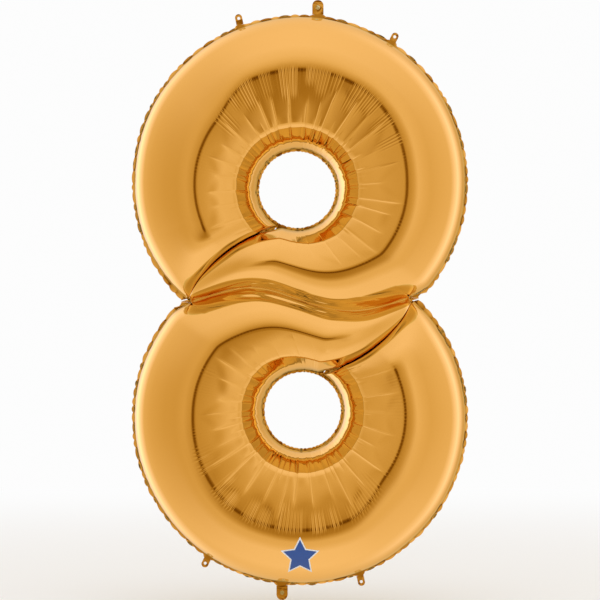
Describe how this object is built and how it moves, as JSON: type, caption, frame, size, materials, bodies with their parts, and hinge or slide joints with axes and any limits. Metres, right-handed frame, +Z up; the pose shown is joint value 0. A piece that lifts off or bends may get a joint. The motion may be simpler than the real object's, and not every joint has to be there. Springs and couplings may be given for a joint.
{
  "type": "foil number balloon",
  "caption": "Blown-up metallised foil party balloon in the shape of the digit 8, with a welded edge, round openings, self-sealing inflation necks and hanging tabs.",
  "frame": {"origin": "centre of the figure, midway between the two loops and in the plane of the welded seam", "axes": "+Z up along the figure's height, +X to the right seen from the front, +Y from front to back; the front faces -Y"},
  "size_m": [0.57, 0.181, 1.016],
  "materials": {
    "gold_film": "mirror-bright gold metallised film",
    "valve_film": "clear thin film"
  },
  "bodies": {
    "balloon": {"front_panel": "gold_film", "back_panel": "gold_film", "upper_loop_seam": "gold_film", "upper_hole_seam": "gold_film", "upper_slit_seam_blind_side": "gold_film", "upper_slit_seam_waist_side": "gold_film", "lower_loop_seam": "gold_film", "lower_hole_seam": "gold_film", "lower_slit_seam_blind_side": "gold_film", "lower_slit_seam_waist_side": "gold_film"},
    "top_neck": {"top_neck_front_ply": "gold_film", "top_neck_back_ply": "gold_film"},
    "top_left_hang_tab": {"top_left_hang_tab": "gold_film"},
    "top_right_hang_tab": {"top_right_hang_tab": "gold_film"},
    "top_valve_front_film": {"top_valve_front_film": "valve_film"},
    "top_valve_back_film": {"top_valve_back_film": "valve_film"},
    "bottom_neck": {"bottom_neck_front_ply": "gold_film", "bottom_neck_back_ply": "gold_film"},
    "bottom_right_hang_tab": {"bottom_right_hang_tab": "gold_film"},
    "bottom_left_hang_tab": {"bottom_left_hang_tab": "gold_film"},
    "bottom_valve_front_film": {"bottom_valve_front_film": "valve_film"},
    "bottom_valve_back_film": {"bottom_valve_back_film": "valve_film"}
  },
  "joints": [
    {"name": "top_neck_fold", "type": "hinge", "parent": "balloon", "child": "top_neck", "pos_m": [0.0303, 0, 0.48249], "axis": [0.9944, 0, -0.1057], "range_deg": [-80, 80], "stiffness_Nm_per_rad": 0.001},
    {"name": "top_left_tab_fold", "type": "hinge", "parent": "balloon", "child": "top_left_hang_tab", "pos_m": [-0.10141, 0, 0.46556], "axis": [0.9353, 0, 0.3539], "range_deg": [-80, 80], "stiffness_Nm_per_rad": 0.001},
    {"name": "top_right_tab_fold", "type": "hinge", "parent": "balloon", "child": "top_right_hang_tab", "pos_m": [0.15649, 0, 0.43759], "axis": [0.8375, 0, -0.5464], "range_deg": [-80, 80], "stiffness_Nm_per_rad": 0.001},
    {"name": "top_valve_front_opening", "type": "hinge", "parent": "balloon", "child": "top_valve_front_film", "pos_m": [0.0303, -0.00025, 0.4745], "axis": [1, 0, 0], "range_deg": [-6, 0], "stiffness_Nm_per_rad": 0.001},
    {"name": "top_valve_back_opening", "type": "hinge", "parent": "balloon", "child": "top_valve_back_film", "pos_m": [0.0303, 0.00025, 0.4745], "axis": [1, 0, 0], "range_deg": [0, 6], "stiffness_Nm_per_rad": 0.001},
    {"name": "bottom_neck_fold", "type": "hinge", "parent": "balloon", "child": "bottom_neck", "pos_m": [-0.0303, 0, -0.48249], "axis": [0.9944, 0, -0.1057], "range_deg": [-80, 80], "stiffness_Nm_per_rad": 0.001},
    {"name": "bottom_right_tab_fold", "type": "hinge", "parent": "balloon", "child": "bottom_right_hang_tab", "pos_m": [0.10141, 0, -0.46556], "axis": [0.9353, 0, 0.3539], "range_deg": [-80, 80], "stiffness_Nm_per_rad": 0.001},
    {"name": "bottom_left_tab_fold", "type": "hinge", "parent": "balloon", "child": "bottom_left_hang_tab", "pos_m": [-0.15649, 0, -0.43759], "axis": [0.8375, 0, -0.5464], "range_deg": [-80, 80], "stiffness_Nm_per_rad": 0.001},
    {"name": "bottom_valve_front_opening", "type": "hinge", "parent": "balloon", "child": "bottom_valve_front_film", "pos_m": [-0.0303, -0.00025, -0.4745], "axis": [-1, 0, 0], "range_deg": [-6, 0], "stiffness_Nm_per_rad": 0.001},
    {"name": "bottom_valve_back_opening", "type": "hinge", "parent": "balloon", "child": "bottom_valve_back_film", "pos_m": [-0.0303, 0.00025, -0.4745], "axis": [-1, 0, 0], "range_deg": [0, 6], "stiffness_Nm_per_rad": 0.001}
  ],
  "couplings": [
    {"joint": "top_valve_back_opening", "follows": "top_valve_front_opening", "ratio": -1},
    {"joint": "bottom_valve_back_opening", "follows": "bottom_valve_front_opening", "ratio": -1}
  ]
}
